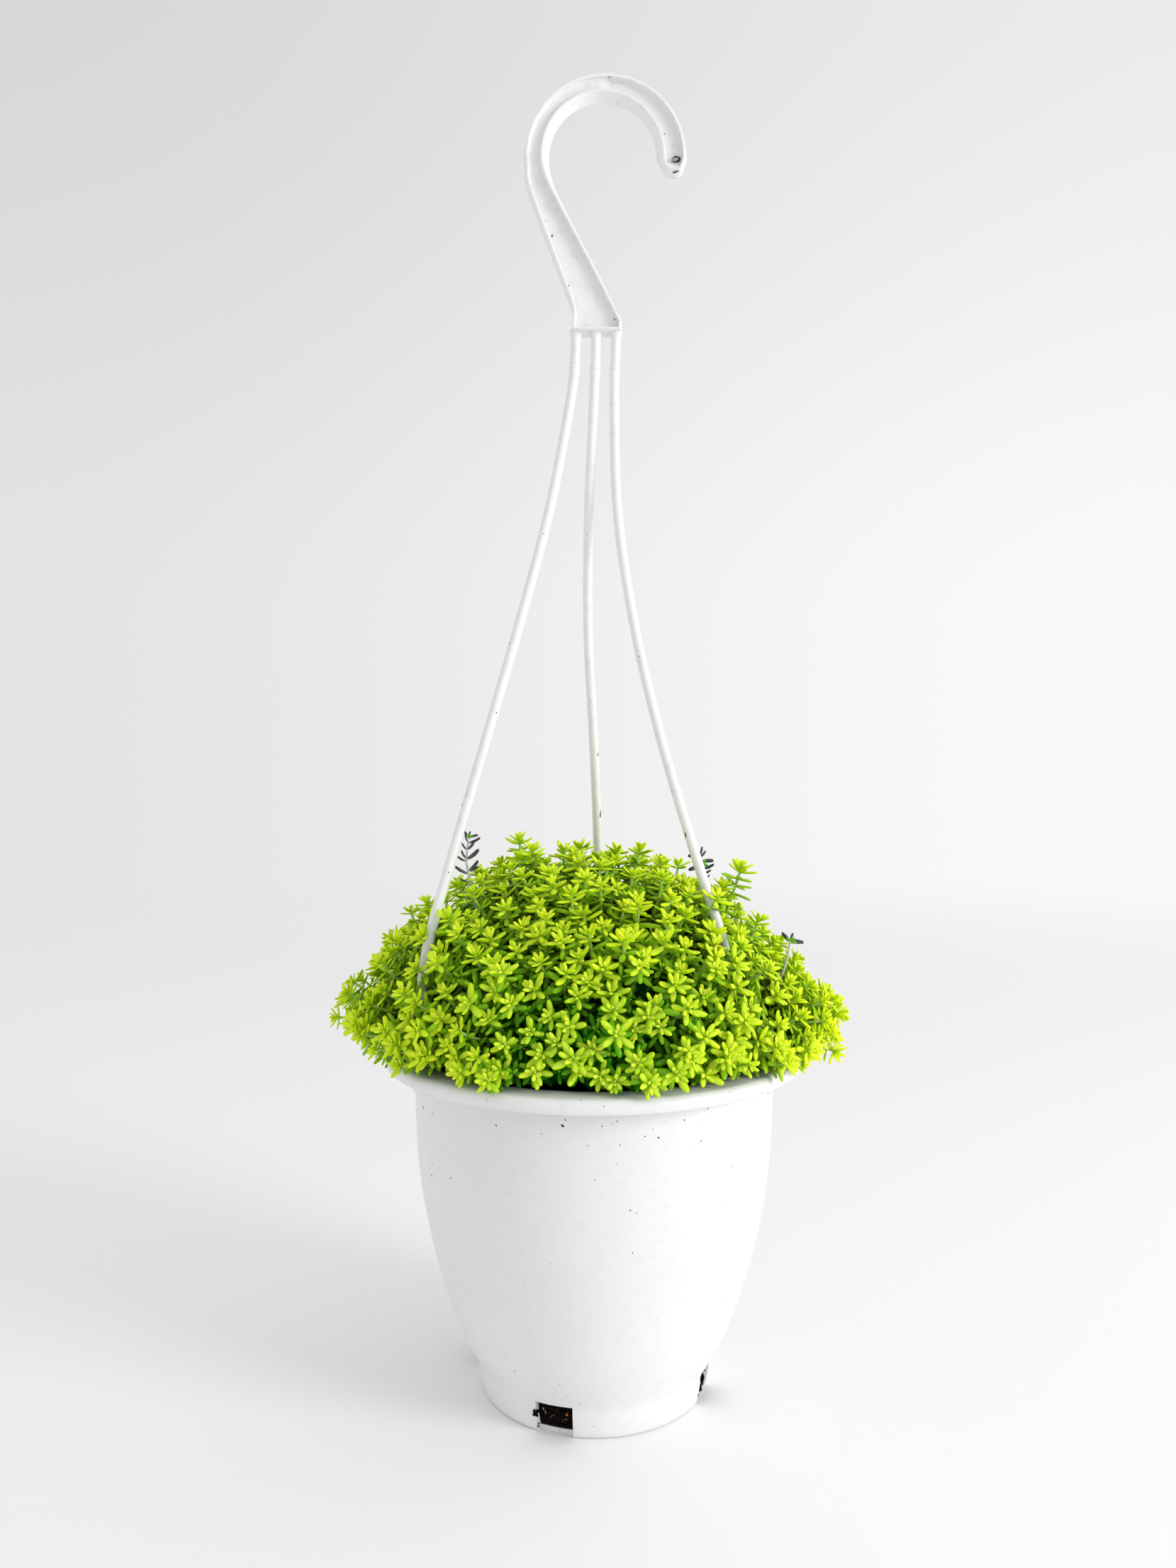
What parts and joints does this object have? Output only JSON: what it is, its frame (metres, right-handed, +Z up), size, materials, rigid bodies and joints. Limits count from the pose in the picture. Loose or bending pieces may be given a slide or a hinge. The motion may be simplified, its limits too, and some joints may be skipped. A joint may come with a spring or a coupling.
{
  "type": "potted tokyo sun sedum",
  "caption": "Low golden stonecrop with starry rosettes, domed over a round white hanging pot with a three-armed plastic hanger and hook, standing on its foot.",
  "frame": {"origin": "centre of the pot's foot, on the surface it stands on", "axes": "+Z up through the pot's axis to the hook, front towards -Y, right-hand side towards +X"},
  "size_m": [0.2385, 0.2062, 0.6269],
  "materials": {
    "white_plastic": "moulded white polypropylene, satin gloss",
    "potting_soil": "dark crumbly peat and bark",
    "golden_green_leaf": "fleshy yellow-green leaf, soft sheen",
    "charcoal_leaf": "dark grey leaf on a pale grey stem"
  },
  "bodies": {
    "root": {"pot": "white_plastic", "hanger_hook": "white_plastic", "arm_left": "white_plastic", "arm_right": "white_plastic", "arm_back": "white_plastic", "soil": "potting_soil", "sedum_cushion": "golden_green_leaf", "dark_shoot_left": "charcoal_leaf", "dark_shoot_right": "charcoal_leaf"}
  },
  "joints": []
}
